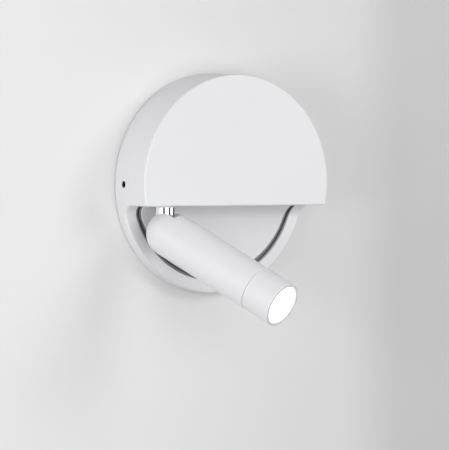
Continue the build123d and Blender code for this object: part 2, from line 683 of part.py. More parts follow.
def make_driver_screws():
    seat = DRIVER_H + DRIVER_T - DRIVER_EAR_T
    shank_r, length = DRIVER_SCREW_R - THREAD_GAP, DRIVER_EAR_T + DRIVER_SCREW_DEPTH
    screws = [pan_screw(x, DRIVER_Z, seat, shank_r, DRIVER_SCREW_HEAD_R, DRIVER_SCREW_HEAD_T, length)
              for x in driver_screw_xs()]
    return Compound(children=screws)


def output_points():
    """Route of the output lead, from the driver to the top of the stem."""
    h = driver_lead_h()
    x_end = OUTPUT_SINK - DRIVER_W / 2
    return [(x_end, -h, DRIVER_Z),
            (x_end - OUTPUT_RUN, -h - OUTPUT_DROP, DRIVER_Z - OUTPUT_DROP),
            (STEM_X - OUTPUT_BEND_OUT, -h - OUTPUT_BEND_RISE, OUTPUT_BEND_Z),
            (STEM_X, -PIVOT_H, OUTPUT_STRAIGHT_Z),
            (STEM_X, -PIVOT_H, SHANK_TOP_Z)]


def make_output_lead():
    points = output_points()
    return lead(points, arc_radii(points), LEAD_R)


def mains_core_xs():
    """The two live poles that feed the driver."""
    return pole_xs()[1:3]


def make_mains_cores():
    """Two short straight cores from the terminals into the driver."""
    z0 = TERMINAL_Z + TERMINAL_D / 2 - MAINS_CORE_SINK
    z1 = DRIVER_Z - DRIVER_D / 2 + MAINS_CORE_SINK
    return Compound(children=[upright_rod(MAINS_CORE_R, x, z0, z1, wire_h()) for x in mains_core_xs()])


# ---------------------------------------------------------------- stem and its fastening
def make_stem():
    """Chrome stem: hollow shank, round barrel and a fork inside the head."""
    stem = post(STEM_R, PIVOT_Z, STEM_SHOULDER_Z)
    stem += STEM * Pos(-STEM_R, 0, 0) * Rot(0, 90, 0) * Cylinder(STEM_R, 2 * STEM_R, align=BASE)
    keep = post(STEM_R, PIVOT_Z - STEM_R, STEM_SHOULDER_Z)
    stem = stem & keep
    half = STEM_TONGUE_T / 2
    for x in (-half - STEM_R, half):
        flat = STEM * Pos(x, 0, FLAT_TOP) * Box(STEM_R, 4 * STEM_R, 4 * STEM_R, align=(
            Align.MIN, Align.CENTER, Align.MAX))
        stem -= flat
    stem += post(STEM_SHANK_R, STEM_SHOULDER_Z, SHANK_TOP_Z)
    stem -= post(STEM_BORE_R, PIVOT_Z, SHANK_TOP_Z + OVER)
    half_slot = STEM_FORK_SLOT / 2
    opening = STEM * Pos(0, half_slot, half_slot) * Box(
        STEM_FORK_SLOT, 3 * STEM_R, 3 * STEM_R, align=(Align.CENTER, Align.MAX, Align.MAX))
    stem -= opening
    pin_hole = STEM * Pos(-2 * STEM_R, 0, 0) * Rot(0, 90, 0) * Cylinder(
        TILT_PIN_R + RUN_GAP, 4 * STEM_R, align=BASE)
    return stem - pin_hole


def make_stem_bush():
    bush = post(BUSH_FLANGE_R, ROOF_Z - BUSH_FLANGE_T, ROOF_Z) + post(BUSH_SLEEVE_R, ROOF_Z, ROOF_TOP_Z)
    return bush - post(STEM_SHANK_R + RUN_GAP, ROOF_Z - 2 * OVER, ROOF_TOP_Z + OVER)


def make_thrust_washer():
    top = THRUST_Z + THRUST_WASHER_T
    return post(STOP_WASHER_R, THRUST_Z, top) - post(STEM_SHANK_R + WASHER_GAP, THRUST_Z - OVER, top + OVER)


def make_stop_washer():
    """Washer whose tab points away from the head and meets the stop pins."""
    top = STOP_Z + STOP_WASHER_T
    tab = STEM * Pos(0, 0, STOP_Z - PIVOT_Z) * Box(
        STOP_TAB_W, STOP_TAB_REACH, STOP_WASHER_T, align=(Align.CENTER, Align.MIN, Align.MIN))
    return post(STOP_WASHER_R, STOP_Z, top) + tab - post(STEM_SHANK_R, STOP_Z - OVER, top + OVER)


def make_spring_washer():
    """Shallow cone washer that gives the pan joint its friction."""
    inner, outer = STEM_SHANK_R + WASHER_GAP, STOP_WASHER_R
    low, rise, thick = SPRING_Z, SPRING_WASHER_RISE, SPRING_WASHER_T
    corners = [(inner, low + rise), (outer, low), (outer, low + thick), (inner, low + rise + thick)]
    section = make_face(Plane.XZ * Polyline(*corners, close=True))
    return Pos(STEM_X, -PIVOT_H, 0) * revolve(section, Axis.Z)


def make_ring_nut():
    top = NUT_Z + RING_NUT_T
    nut = post(RING_NUT_R, NUT_Z, top) - post(STEM_SHANK_R + THREAD_GAP, NUT_Z - OVER, top + OVER)
    slot = STEM * Pos(0, 0, top - PIVOT_Z) * Box(4 * RING_NUT_R, RING_NUT_SLOT, RING_NUT_T, align=(
        Align.CENTER, Align.CENTER, Align.CENTER))
    return nut - (slot - post(STEM_SHANK_R + RING_NUT_WEB, NUT_Z, top + OVER))


def make_stem_lead():
    return post(LEAD_R, PIVOT_Z + LEAD_R + LEAD_END_GAP, SHANK_TOP_Z)


# ---------------------------------------------------------------- head pieces
def head_slot(wide):
    """Space that the stem sweeps in the head, from level to straight down."""
    far = 2 * HEAD_R
    hub = cross_pin(SLOT_HALF, -wide, wide)
    upright = head_box(-wide, wide, 0, far, -SLOT_HALF, SLOT_HALF)
    backward = head_box(-wide, wide, -SLOT_HALF, SLOT_HALF, -far, 0)
    sweep_corner = head_box(-wide, wide, 0, far, -far, 0)
    return hub + upright + backward + sweep_corner


def domed_rod(radius, front_s):
    """Round rod with a domed rear, concentric with the shell's dome."""
    dome = HEAD * Pos(0, 0, HEAD_DOME_S) * Sphere(radius)
    return dome + barrel(radius, HEAD_DOME_S, front_s)


def make_head_shell():
    front = SEAM_S - SEAM_GAP
    outer = domed_rod(HEAD_R, front)
    outer = chamfer(outer.edges().sort_by(HEAD_AXIS)[-1], SEAM_CHAMFER)
    shell = outer - domed_rod(SHELL_BORE_R, front + OVER) - head_slot(SLOT_HALF)
    screw_hole = HEAD * Pos(0, -HEAD_R - OVER, SHELL_SCREW_S) * Rot(-90, 0, 0)
    depth = OVER + HEAD_WALL + KNUCKLE_CLEAR
    shell -= screw_hole * Cylinder(SHELL_SCREW_HEAD_R + WASHER_GAP, depth, align=BASE)
    return shell


def make_knuckle_block():
    block = domed_rod(INNER_R, KNUCKLE_FRONT) - head_slot(SLOT_HALF)
    block -= barrel(LEAD_HOLE_R, 0, KNUCKLE_FRONT + OVER)
    block -= cross_pin(TILT_PIN_R, -HEAD_R, HEAD_R)
    hole = HEAD * Pos(0, -HEAD_R, SHELL_SCREW_S) * Rot(-90, 0, 0)
    depth = HEAD_WALL + SHELL_SCREW_LENGTH
    return block - hole * Cylinder(SHELL_SCREW_R, depth, align=BASE)


def make_tilt_pins():
    inner = STEM_FORK_SLOT / 2 + TILT_PIN_END_GAP
    outer = math.sqrt(INNER_R ** 2 - (HEAD_DOME_S + TILT_PIN_R) ** 2) - TILT_PIN_END_GAP
    return Compound(children=[cross_pin(TILT_PIN_R, -outer, -inner), cross_pin(TILT_PIN_R, inner, outer)])


def make_friction_washers():
    inner, outer = STEM_TONGUE_T / 2 + FRICTION_GAP, SLOT_HALF
    washers = []
    for side in (-1, 1):
        u0, u1 = sorted((side * inner, side * outer))
        washer = cross_pin(FRICTION_WASHER_R, u0, u1)
        washers.append(washer - cross_pin(TILT_PIN_R + THREAD_GAP, u0 - OVER, u1 + OVER))
    return Compound(children=washers)


def make_shell_screw():
    """Flat-headed screw from below that holds the shell on the knuckle block."""
    start = HEAD * Pos(0, -HEAD_R + SHELL_SCREW_SINK, SHELL_SCREW_S) * Rot(-90, 0, 0)
    screw = start * Cylinder(SHELL_SCREW_HEAD_R, SHELL_SCREW_HEAD_T, align=BASE)
    screw += start * Pos(0, 0, SHELL_SCREW_HEAD_T) * Cylinder(
        SHELL_SCREW_R - THREAD_GAP, SHELL_SCREW_LENGTH - SHELL_SCREW_HEAD_T, align=BASE)
    depth = OVER + SHELL_SCREW_HEAD_T * SHELL_SCREW_SOCKET_SHARE
    return screw - start * Pos(0, 0, -OVER) * extrude(RegularPolygon(SHELL_SCREW_SOCKET_R, 6), depth)


def make_heat_sink():
    sink = barrel(INNER_R, SINK_BACK_S, SPIGOT_BACK_S)
    for i in range(SINK_FINS):
        s0 = SINK_BACK_S + SINK_FIN_T + i * (SINK_FIN_T + SINK_FIN_GAP)
        core = barrel(INNER_R - SINK_FIN_DEPTH, s0 - OVER, s0 + SINK_FIN_GAP + OVER)
        sink -= barrel(HEAD_R, s0, s0 + SINK_FIN_GAP) - core
    sink -= barrel(LEAD_HOLE_R, SINK_BACK_S - OVER, SPIGOT_BACK_S + OVER)
    for u in (-BOARD_SCREW_U, BOARD_SCREW_U):
        sink -= barrel(BOARD_SCREW_R, SPIGOT_BACK_S - BOARD_SCREW_DEPTH, SPIGOT_BACK_S + OVER, u)
    return sink


def make_thermal_pad():
    pad = barrel(PAD_R, SPIGOT_BACK_S, BOARD_BACK_S)
    pad -= barrel(LEAD_HOLE_R, SPIGOT_BACK_S - OVER, BOARD_BACK_S + OVER)
    for u in (-BOARD_SCREW_U, BOARD_SCREW_U):
        pad -= barrel(BOARD_SCREW_R + HOLE_GAP, SPIGOT_BACK_S - OVER, BOARD_BACK_S + OVER, u)
    return pad


def make_led_board():
    board = barrel(BOARD_R, BOARD_BACK_S, BOARD_FRONT_S)
    for u in (-BOARD_SCREW_U, BOARD_SCREW_U):
        board -= barrel(BOARD_SCREW_R + HOLE_GAP, BOARD_BACK_S - OVER, BOARD_FRONT_S + OVER, u)
    return board


def make_led_chip():
    half = CHIP_SIDE / 2
    chip = head_box(-half, half, -half, half, BOARD_FRONT_S, BOARD_FRONT_S + CHIP_T)
    dome = HEAD * Pos(0, 0, BOARD_FRONT_S + CHIP_T) * Sphere(CHIP_DOME_R)
    start = BOARD_FRONT_S + CHIP_T / 2
    above = head_box(-CHIP_SIDE, CHIP_SIDE, -CHIP_SIDE, CHIP_SIDE, start, start + CHIP_SIDE)
    return chip + (dome & above)


def make_board_screws():
    top = BOARD_FRONT_S + BOARD_SCREW_HEAD_T
    tip = SPIGOT_BACK_S - BOARD_SCREW_DEPTH + HOLE_GAP
    half, reach = CROSS_W / 2, BOARD_SCREW_HEAD_R * CROSS_SHARE
    screws = []
    for u in (-BOARD_SCREW_U, BOARD_SCREW_U):
        screw = barrel(BOARD_SCREW_HEAD_R, BOARD_FRONT_S, top, u)
        screw += barrel(BOARD_SCREW_R - THREAD_GAP, tip, BOARD_FRONT_S, u)
        screw -= head_box(u - reach, u + reach, -half, half, top - BOARD_SCREW_HEAD_T / 2, top + OVER)
        screw -= head_box(u - half, u + half, -reach, reach, top - BOARD_SCREW_HEAD_T / 2, top + OVER)
        screws.append(screw)
    return Compound(children=screws)


def make_lens_holder():
    """Ring that stands on the LED board and centres the optic over the chip."""
    top = BOARD_FRONT_S + HOLDER_T
    holder = barrel(BOARD_R, BOARD_FRONT_S, top) - barrel(HOLDER_BORE_R, BOARD_FRONT_S - OVER, top + OVER)
    for u in (-BOARD_SCREW_U, BOARD_SCREW_U):
        holder -= barrel(BOARD_SCREW_HEAD_R + HOLE_GAP, BOARD_FRONT_S - OVER, top + OVER, u)
    return holder


def optic_back_s():
    return BOARD_FRONT_S + HOLDER_T


def make_optic_lens():
    """Conical collimator with a front flange and a hollow over the chip."""
    back = optic_back_s()
    front = back + OPTIC_LENGTH
    floor, step = back + OPTIC_HOLLOW_DEPTH, front - OPTIC_FLANGE_T
    corners = [(0, floor), (OPTIC_HOLLOW_R - OPTIC_HOLLOW_DRAFT, floor), (OPTIC_HOLLOW_R, back),
               (OPTIC_REAR_R, back), (OPTIC_R - OPTIC_FLANGE_W, step), (OPTIC_R, step),
               (OPTIC_R, front), (0, front)]
    section = make_face(Polyline(*corners, close=True))
    return HEAD * Rot(90, 0, 0) * revolve(section, Axis.Y)


def front_lens_back_s():
    return HEAD_LENGTH - FRONT_LENS_SINK - FRONT_LENS_T


def make_lens_spacer():
    """White ring between the optic's flange and the front lens."""
    back, front = optic_back_s() + OPTIC_LENGTH, front_lens_back_s()
    return barrel(OPTIC_R, back, front) - barrel(OPTIC_R - SPACER_W, back - OVER, front + OVER)


def make_front_lens():
    radius = HEAD_R - BEZEL_LIP_W - FRONT_LENS_CLEAR
    lens = barrel(radius, front_lens_back_s(), front_lens_back_s() + FRONT_LENS_T)
    return chamfer(lens.edges().sort_by(HEAD_AXIS)[-1], BEZEL_EDGE)


def make_front_bezel():
    """Front collar: threaded spigot, optic bore and the rim round the lens."""
    body = barrel(HEAD_R, SEAM_S, HEAD_LENGTH)
    body = chamfer(body.edges().sort_by(HEAD_AXIS)[0], SEAM_CHAMFER)
    body = fillet(body.edges().sort_by(HEAD_AXIS)[-1], BEZEL_EDGE)
    body += barrel(INNER_R, SPIGOT_BACK_S, SEAM_S)
    body -= barrel(OPTIC_BORE_R, SPIGOT_BACK_S - OVER, HEAD_LENGTH + OVER)
    return body - barrel(HEAD_R - BEZEL_LIP_W, front_lens_back_s(), HEAD_LENGTH + OVER)


def make_head_lead():
    return barrel(LEAD_R, LEAD_R + LEAD_END_GAP, BOARD_BACK_S)


HEAD_AXIS = Axis(origin=PIVOT, direction=AIM)

NODES = {
    "wall_bracket": make_wall_bracket,
    "cable_grommet": make_cable_grommet,
    "earth_screw": make_earth_screw,
    "terminal_block": make_terminal_block,
    "terminal_clamps": make_terminal_clamps,
    "terminal_screws": make_terminal_screws,
    "wall_gasket": make_wall_gasket,
    "housing_shell": make_housing,
    "side_grub_screws": make_side_grub_screws,
    "recess_plate": make_recess_plate,
    "plate_screws": make_plate_screws,
    "groove_liner": make_groove_liner,
    "driver_case": make_driver_case,
    "driver_lid": make_driver_lid,
    "driver_board": make_driver_board,
    "driver_transformer": make_driver_transformer,
    "driver_capacitors": make_driver_capacitors,
    "driver_screws": make_driver_screws,
    "mains_cores": make_mains_cores,
    "output_lead": make_output_lead,
    "stem_bush": make_stem_bush,
    "stop_pins": make_stop_pins,
    "stem": make_stem,
    "thrust_washer": make_thrust_washer,
    "stop_washer": make_stop_washer,
    "spring_washer": make_spring_washer,
    "ring_nut": make_ring_nut,
    "stem_lead": make_stem_lead,
    "head_shell": make_head_shell,
    "knuckle_block": make_knuckle_block,
    "tilt_pins": make_tilt_pins,
    "friction_washers": make_friction_washers,
    "shell_screw": make_shell_screw,
    "heat_sink": make_heat_sink,
    "thermal_pad": make_thermal_pad,
    "led_board": make_led_board,
    "led_chip": make_led_chip,
    "board_screws": make_board_screws,
    "lens_holder": make_lens_holder,
    "optic_lens": make_optic_lens,
    "lens_spacer": make_lens_spacer,
    "front_lens": make_front_lens,
    "front_bezel": make_front_bezel,
    "head_lead": make_head_lead,
}

os.makedirs("parts", exist_ok=True)
for name, build in NODES.items():
    export_step(build(), f"parts/{name}.step")
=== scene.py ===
"""Pivoting spotlight wall light: materials, the lit lens, the studio and the camera.

The scene is in metres. The wall is the plane Y = 0 and the light stands out towards -Y, with the origin on the wall at
the centre of the round housing.
"""

import logging
import math
from dataclasses import dataclass, field
from enum import Enum

import bmesh
import bpy
from mathutils import Matrix, Vector


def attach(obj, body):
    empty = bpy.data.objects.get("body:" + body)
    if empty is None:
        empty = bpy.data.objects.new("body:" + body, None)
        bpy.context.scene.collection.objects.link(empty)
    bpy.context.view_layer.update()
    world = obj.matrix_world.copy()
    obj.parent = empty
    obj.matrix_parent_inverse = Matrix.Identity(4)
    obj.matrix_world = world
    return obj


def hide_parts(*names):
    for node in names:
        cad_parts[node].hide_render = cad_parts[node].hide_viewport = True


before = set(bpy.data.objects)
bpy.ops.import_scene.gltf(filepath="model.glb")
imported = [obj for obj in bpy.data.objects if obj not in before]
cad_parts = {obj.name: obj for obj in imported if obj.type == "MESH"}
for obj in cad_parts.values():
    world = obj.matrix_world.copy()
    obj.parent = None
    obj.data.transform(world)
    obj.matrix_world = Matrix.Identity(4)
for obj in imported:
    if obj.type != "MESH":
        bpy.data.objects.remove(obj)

LOG = logging.getLogger("wall_light")
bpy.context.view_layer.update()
MM = 0.001

Colour = tuple[float, float, float]
Point = tuple[float, float, float]


class Body(Enum):
    """Moving bodies of the part."""

    BASE = "base"
    STEM = "stem"
    HEAD = "head"


class Texture(Enum):
    """Kinds of texture node, by the number of their output that gives the height."""

    NOISE = ("ShaderNodeTexNoise", 0)
    CELLS = ("ShaderNodeTexVoronoi", 0)
    WAVES = ("ShaderNodeTexWave", 1)


# ------------------------------------------------------------------ finishes


class NodeBoard:
    """Adds and joins the nodes of one material."""

    def __init__(self, name: str) -> None:
        """Starts a material with its output and its main shader.

        Args:
            name: The material's name.
        """
        self.material = bpy.data.materials.new(name)
        self.material.use_nodes = True
        self.tree = self.material.node_tree
        self.tree.nodes.clear()
        self.output = self.add("ShaderNodeOutputMaterial")
        self.shader = self.add("ShaderNodeBsdfPrincipled")
        self.tree.links.new(self.shader.outputs[0], self.output.inputs["Surface"])
        self.place = self.add("ShaderNodeTexCoord").outputs["Object"]

    def add(self, kind: str, **values: object) -> bpy.types.Node:
        """Adds a node and sets its properties.

        Args:
            kind: The node's type.
            values: Properties of the node itself.

        Returns:
            The new node.
        """
        node = self.tree.nodes.new(kind)
        for key, value in values.items():
            setattr(node, key, value)
        return node

    def set(self, **values: object) -> None:
        """Sets sockets of the main shader, with _ for a space in their names.

        Args:
            values: Socket values.
        """
        for key, value in values.items():
            self.shader.inputs[key.replace("_", " ")].default_value = value

    def join(self, output: bpy.types.NodeSocket, node: bpy.types.Node, socket: str | int) -> None:
        """Joins an output to a node's socket.

        Args:
            output: Where the value comes from.
            node: The node that takes it.
            socket: The name or number of its socket.
        """
        self.tree.links.new(output, node.inputs[socket])

    def stretched(self, scale: Point) -> bpy.types.NodeSocket:
        """Object coordinates, stretched.

        Args:
            scale: Scale along each axis.

        Returns:
            The stretched coordinates.
        """
        mapping = self.add("ShaderNodeMapping")
        mapping.inputs["Scale"].default_value = scale
        self.join(self.place, mapping, "Vector")
        return mapping.outputs[0]

    def pattern(
        self, kind: Texture, scale: float, detail: float = 3.0, place: bpy.types.NodeSocket | None = None
    ) -> bpy.types.NodeSocket:
        """A texture's height, from 0 to about 1.

        Args:
            kind: Which texture.
            scale: Repeats for each metre.
            detail: Octaves of finer detail.
            place: Coordinates, or None for plain object coordinates.

        Returns:
            The height.
        """
        node_type, output = kind.value
        node = self.add(node_type)
        node.inputs["Scale"].default_value = scale
        if "Detail" in node.inputs:
            node.inputs["Detail"].default_value = detail
        self.join(place or self.place, node, "Vector")
        return node.outputs[output]

    def ramp(
        self, height: bpy.types.NodeSocket, low: Colour, high: Colour, start: float = 0.3, end: float = 0.7
    ) -> bpy.types.NodeSocket:
        """Colours between two ends of a height.

        Args:
            height: The height that picks the colour.
            low: Colour at and below start.
            high: Colour at and above end.
            start: Lower end.
            end: Upper end.

        Returns:
            The colour.
        """
        node = self.add("ShaderNodeValToRGB")
        first, last = node.color_ramp.elements
        first.position, last.position = start, end
        first.color, last.color = (*low, 1.0), (*high, 1.0)
        self.join(height, node, "Fac")
        return node.outputs["Color"]

    def band(self, height: bpy.types.NodeSocket, low: float, high: float) -> bpy.types.NodeSocket:
        """A number between two limits, for a height from 0 to 1.

        Args:
            height: The height.
            low: Number at height 0.
            high: Number at height 1.

        Returns:
            The number.
        """
        node = self.add("ShaderNodeMapRange")
        node.inputs["To Min"].default_value = low
        node.inputs["To Max"].default_value = high
        self.join(height, node, "Value")
        return node.outputs[0]

    def gloss(self, height: bpy.types.NodeSocket, low: float, high: float) -> None:
        """Lets the roughness drift between two limits.

        Args:
            height: The height that picks the roughness.
            low: Roughness at height 0.
            high: Roughness at height 1.
        """
        self.join(self.band(height, low, high), self.shader, "Roughness")

    def relief(self, height: bpy.types.NodeSocket, depth: float, strength: float = 1.0) -> None:
        """Gives the surface a fine relief, on top of any that it has.

        Args:
            height: The height, from 0 to about 1.
            depth: Depth in metres.
            strength: Share of the relief that shows.
        """
        bump = self.add("ShaderNodeBump")
        bump.inputs["Distance"].default_value = depth
        bump.inputs["Strength"].default_value = strength
        self.join(height, bump, "Height")
        links = self.shader.inputs["Normal"].links
        if links:
            self.join(links[0].from_socket, bump, "Normal")
        self.join(bump.outputs[0], self.shader, "Normal")


@dataclass(frozen=True)
class Finish:
    """Base of all finishes: a name, a colour and how rough the surface is."""

    name: str
    colour: Colour
    roughness: float = 0.5

    def tone(self, share: float) -> Colour:
        """The colour, made darker or lighter.

        Args:
            share: Factor on each channel.

        Returns:
            The new colour.
        """
        return tuple(min(1.0, c * share) for c in self.colour)

    def dress(self, board: NodeBoard) -> None:
        """Adds this finish's own nodes.

        Args:
            board: The material in the making.
        """
        raise NotImplementedError

    def material(self) -> bpy.types.Material:
        """The finished material."""
        board = NodeBoard(self.name)
        self.dress(board)
        return board.material


@dataclass(frozen=True)
class PowderCoat(Finish):
    """Powder-coated metal: a very fine orange peel, with a faint drift in tone and gloss."""

    peel: float = 1500.0
    peel_depth: float = 0.02 * MM
    peels_per_speckle: float = 3.0
    clouds: float = 18.0
    drift: float = 0.985
    gloss_drift: float = 0.04
    index: float = 1.48

    def dress(self, board: NodeBoard) -> None:
        """Adds the peel and the drift.

        Args:
            board: The material in the making.
        """
        clouds = board.pattern(Texture.NOISE, self.clouds, 2.0)
        board.join(board.ramp(clouds, self.tone(self.drift), self.colour), board.shader, "Base Color")
        speckle = board.pattern(Texture.NOISE, self.peel / self.peels_per_speckle, 2.0)
        board.gloss(speckle, self.roughness - self.gloss_drift, self.roughness + self.gloss_drift)
        board.relief(board.pattern(Texture.NOISE, self.peel, 3.0), self.peel_depth)
        board.set(IOR=self.index)


@dataclass(frozen=True)
class BlackOxide(Finish):
    """Chemically blackened steel: dull black with an oily drift in gloss."""

    oil: float = 900.0
    oil_tone: float = 2.5
    gloss_drift: float = 0.1
    index: float = 1.35

    def dress(self, board: NodeBoard) -> None:
        """Adds the oily drift.

        Args:
            board: The material in the making.
        """
        oil = board.pattern(Texture.NOISE, self.oil)
        board.join(board.ramp(oil, self.colour, self.tone(self.oil_tone)), board.shader, "Base Color")
        board.gloss(oil, self.roughness - self.gloss_drift, self.roughness + self.gloss_drift)
        board.set(IOR=self.index)


@dataclass(frozen=True)
class Chrome(Finish):
    """Polished chrome with faint wiping marks around the axis."""

    roughness: float = 0.05
    wiping: Point = (60.0, 60.0, 2600.0)
    film: float = 120.0
    film_tone: float = 0.96
    smoothest: float = 0.6
    dullest: float = 1.8

    def dress(self, board: NodeBoard) -> None:
        """Adds the wiping marks.

        Args:
            board: The material in the making.
        """
        marks = board.pattern(Texture.NOISE, 1.0, 4.0, board.stretched(self.wiping))
        board.gloss(marks, self.roughness * self.smoothest, self.roughness * self.dullest)
        film = board.pattern(Texture.NOISE, self.film, 2.0)
        board.join(board.ramp(film, self.tone(self.film_tone), self.colour), board.shader, "Base Color")
        board.set(Metallic=1.0)


@dataclass(frozen=True)
class RolledMetal(Finish):
    """Bare or plated metal with fine rolling lines and cloudy patches."""

    grain: Point = (60.0, 900.0, 900.0)
    cloud: float = 140.0
    contrast: float = 0.84
    smoothest: float = 0.75
    dullest: float = 1.3
    line_depth: float = 0.01 * MM
    line_share: float = 0.6

    def dress(self, board: NodeBoard) -> None:
        """Adds the lines and patches.

        Args:
            board: The material in the making.
        """
        lines = board.pattern(Texture.NOISE, 1.0, 5.0, board.stretched(self.grain))
        clouds = board.pattern(Texture.NOISE, self.cloud, 4.0)
        board.join(board.ramp(clouds, self.tone(self.contrast), self.colour), board.shader, "Base Color")
        board.gloss(lines, self.roughness * self.smoothest, self.roughness * self.dullest)
        board.relief(lines, self.line_depth, self.line_share)
        board.set(Metallic=1.0)


@dataclass(frozen=True)
class Rubber(Finish):
    """Moulded rubber with a dusty, slightly rough skin."""

    roughness: float = 0.7
    dust: float = 260.0
    dust_tone: float = 1.5
    skin: float = 2400.0
    skin_depth: float = 0.04 * MM

    def dress(self, board: NodeBoard) -> None:
        """Adds the dust and the skin.

        Args:
            board: The material in the making.
        """
        dust = board.pattern(Texture.NOISE, self.dust, 4.0)
        board.join(board.ramp(dust, self.colour, self.tone(self.dust_tone)), board.shader, "Base Color")
        board.gloss(dust, self.roughness - 0.08, self.roughness + 0.12)
        board.relief(board.pattern(Texture.NOISE, self.skin), self.skin_depth)


@dataclass(frozen=True)
class Foam(Finish):
    """Closed-cell foam tape with open pores at its cut edges."""

    roughness: float = 0.9
    pores: float = 1300.0
    pore_depth: float = 0.2 * MM
    pore_share: float = 0.8
    pore_tone: float = 0.6
    pore_edges: tuple[float, float] = (0.05, 0.55)

    def dress(self, board: NodeBoard) -> None:
        """Adds the pores.

        Args:
            board: The material in the making.
        """
        cells = board.pattern(Texture.CELLS, self.pores)
        tone = board.ramp(cells, self.tone(self.pore_tone), self.colour, *self.pore_edges)
        board.join(tone, board.shader, "Base Color")
        board.set(Roughness=self.roughness)
        board.relief(cells, self.pore_depth, self.pore_share)


@dataclass(frozen=True)
class Moulded(Finish):
    """Injection-moulded plastic with a fine spark-eroded texture."""

    roughness: float = 0.45
    texture: float = 1900.0
    texture_depth: float = 0.02 * MM
    texture_share: float = 0.7
    flow: float = 45.0
    flow_tone: float = 0.95
    glow_through: float = 0.05
    glow_depth: float = 1.0 * MM

    def dress(self, board: NodeBoard) -> None:
        """Adds the eroded texture.

        Args:
            board: The material in the making.
        """
        flow = board.pattern(Texture.NOISE, self.flow)
        board.join(board.ramp(flow, self.tone(self.flow_tone), self.colour), board.shader, "Base Color")
        board.gloss(flow, self.roughness - 0.05, self.roughness + 0.07)
        board.relief(board.pattern(Texture.CELLS, self.texture), self.texture_depth, self.texture_share)
        board.set(Subsurface_Weight=self.glow_through, Subsurface_Scale=self.glow_depth)


@dataclass(frozen=True)
class CircuitBoard(Finish):
    """Solder mask over copper tracks, with the glass weave faintly showing."""

    roughness: float = 0.28
    track: Colour = (0.16, 0.42, 0.20)
    tracks: float = 155.0
    track_height: float = 0.03 * MM
    track_edges: tuple[float, float] = (0.45, 0.5)
    weave: float = 1240.0
    weave_depth: float = 0.005 * MM

    def dress(self, board: NodeBoard) -> None:
        """Adds the tracks and the weave.

        Args:
            board: The material in the making.
        """
        tracks = board.pattern(Texture.WAVES, self.tracks, 0.0)
        board.join(board.ramp(tracks, self.colour, self.track, *self.track_edges), board.shader, "Base Color")
        board.relief(tracks, self.track_height)
        board.relief(board.pattern(Texture.WAVES, self.weave, 0.0), self.weave_depth)
        board.set(Roughness=self.roughness, Coat_Weight=0.4, Coat_Roughness=0.15)


@dataclass(frozen=True)
class Sheath(Finish):
    """Soft lead insulation with faint drawing lines and a fine skin."""

    roughness: float = 0.42
    lines: float = 420.0
    line_tone: float = 0.93
    skin: float = 1700.0
    skin_depth: float = 0.02 * MM

    def dress(self, board: NodeBoard) -> None:
        """Adds the drawing lines and the skin.

        Args:
            board: The material in the making.
        """
        lines = board.pattern(Texture.NOISE, self.lines)
        board.join(board.ramp(lines, self.tone(self.line_tone), self.colour), board.shader, "Base Color")
        board.gloss(lines, self.roughness - 0.05, self.roughness + 0.08)
        board.relief(board.pattern(Texture.NOISE, self.skin, 2.0), self.skin_depth)


@dataclass(frozen=True)
class ClearOptic(Finish):
    """Clear moulded optic with faint flow lines."""

    roughness: float = 0.06
    flow: float = 90.0
    flow_tone: float = 0.97
    smoothest: float = 0.5
    dullest: float = 1.6
    index: float = 1.49
    clarity: float = 0.9

    def dress(self, board: NodeBoard) -> None:
        """Adds the flow lines and makes the surface clear.

        Args:
            board: The material in the making.
        """
        flow = board.pattern(Texture.NOISE, self.flow, 2.0)
        board.gloss(flow, self.roughness * self.smoothest, self.roughness * self.dullest)
        board.join(board.ramp(flow, self.tone(self.flow_tone), self.colour), board.shader, "Base Color")
        board.set(Transmission_Weight=self.clarity, IOR=self.index)


@dataclass(frozen=True)
class LitSurface(Finish):
    """A round surface that glows: even in the middle, falling off to a frosted rim.

    The distance from the axis comes from object coordinates, so the pattern stays on the piece.
    """

    roughness: float = 0.22
    centre: Point = (0.0, 0.0, 0.0)
    axis: Point = (0.0, 0.0, 1.0)
    lit_radius: float = 9.0 * MM
    rim_radius: float = 10.75 * MM
    rim_share: float = 0.5
    strength: float = 1.7
    span: float = 1.1
    frost: float = 1600.0
    frost_tones: tuple[Colour, Colour] = ((0.72, 0.73, 0.74), (0.8, 0.81, 0.82))
    facets: float = 1100.0
    facet_depth: float = 0.03 * MM
    facet_share: float = 0.5

    def dress(self, board: NodeBoard) -> None:
        """Adds the glow and its edge.

        Args:
            board: The material in the making.
        """
        offset = board.add("ShaderNodeVectorMath", operation="SUBTRACT")
        offset.inputs[1].default_value = self.centre
        board.join(board.place, offset, 0)
        across = board.add("ShaderNodeVectorMath", operation="CROSS_PRODUCT")
        across.inputs[1].default_value = self.axis
        board.join(offset.outputs[0], across, 0)
        radius = board.add("ShaderNodeVectorMath", operation="LENGTH")
        board.join(across.outputs[0], radius, 0)
        share = board.add("ShaderNodeMapRange")
        share.inputs["From Max"].default_value = self.rim_radius * self.span
        board.join(radius.outputs["Value"], share, "Value")
        glow = board.ramp(
            share.outputs[0], self.colour, self.tone(self.rim_share),
            self.lit_radius / (self.rim_radius * self.span), 1.0 / self.span,
        )
        board.join(glow, board.shader, "Emission Color")
        frost = board.pattern(Texture.NOISE, self.frost, 2.0)
        board.gloss(frost, self.roughness - 0.05, self.roughness + 0.08)
        board.join(board.ramp(frost, *self.frost_tones), board.shader, "Base Color")
        board.relief(board.pattern(Texture.CELLS, self.facets), self.facet_depth, self.facet_share)
        board.set(Emission_Strength=self.strength, Coat_Weight=0.6, Coat_Roughness=0.05)


